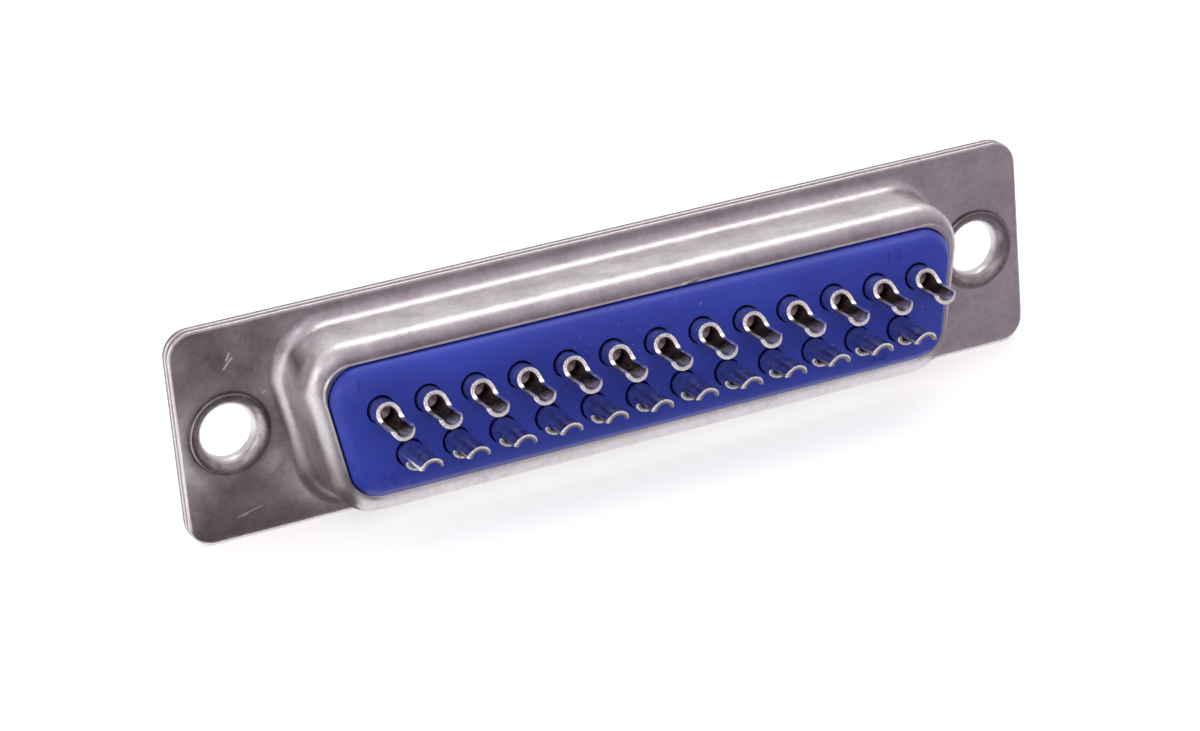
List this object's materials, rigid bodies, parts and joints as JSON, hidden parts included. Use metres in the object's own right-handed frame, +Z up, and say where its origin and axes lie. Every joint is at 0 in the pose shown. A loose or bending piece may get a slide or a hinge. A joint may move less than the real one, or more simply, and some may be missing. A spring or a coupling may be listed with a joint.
{
  "type": "D-subminiature socket connector",
  "caption": "Panel connector with a D-shaped steel shell, two screw eyelets, and two rows of sockets that end in solder cups behind a blue insulator.",
  "frame": {"origin": "middle of the flange's front face, on the connector's mating axis", "axes": "+X along the contact rows, +Y the mating direction out of the hood, +Z up towards the row of thirteen; the solder cups point to -Y"},
  "size_m": [0.053, 0.0156, 0.0126],
  "materials": {
    "shell_steel": "tin-plated, satin",
    "insulator_blue": "semi-gloss moulded",
    "contact_tinned": "tin-plated, bright"
  },
  "bodies": {
    "root": {"front_shell": "shell_steel", "rear_shell": "shell_steel", "front_insulator": "insulator_blue", "rear_insulator": "insulator_blue", "contact_1": "contact_tinned", "contact_2": "contact_tinned", "contact_3": "contact_tinned", "contact_4": "contact_tinned", "contact_5": "contact_tinned", "contact_6": "contact_tinned", "contact_7": "contact_tinned", "contact_8": "contact_tinned", "contact_9": "contact_tinned", "contact_10": "contact_tinned", "contact_11": "contact_tinned", "contact_12": "contact_tinned", "contact_13": "contact_tinned", "contact_14": "contact_tinned", "contact_15": "contact_tinned", "contact_16": "contact_tinned", "contact_17": "contact_tinned", "contact_18": "contact_tinned", "contact_19": "contact_tinned", "contact_20": "contact_tinned", "contact_21": "contact_tinned", "contact_22": "contact_tinned", "contact_23": "contact_tinned", "contact_24": "contact_tinned", "contact_25": "contact_tinned"}
  },
  "joints": []
}
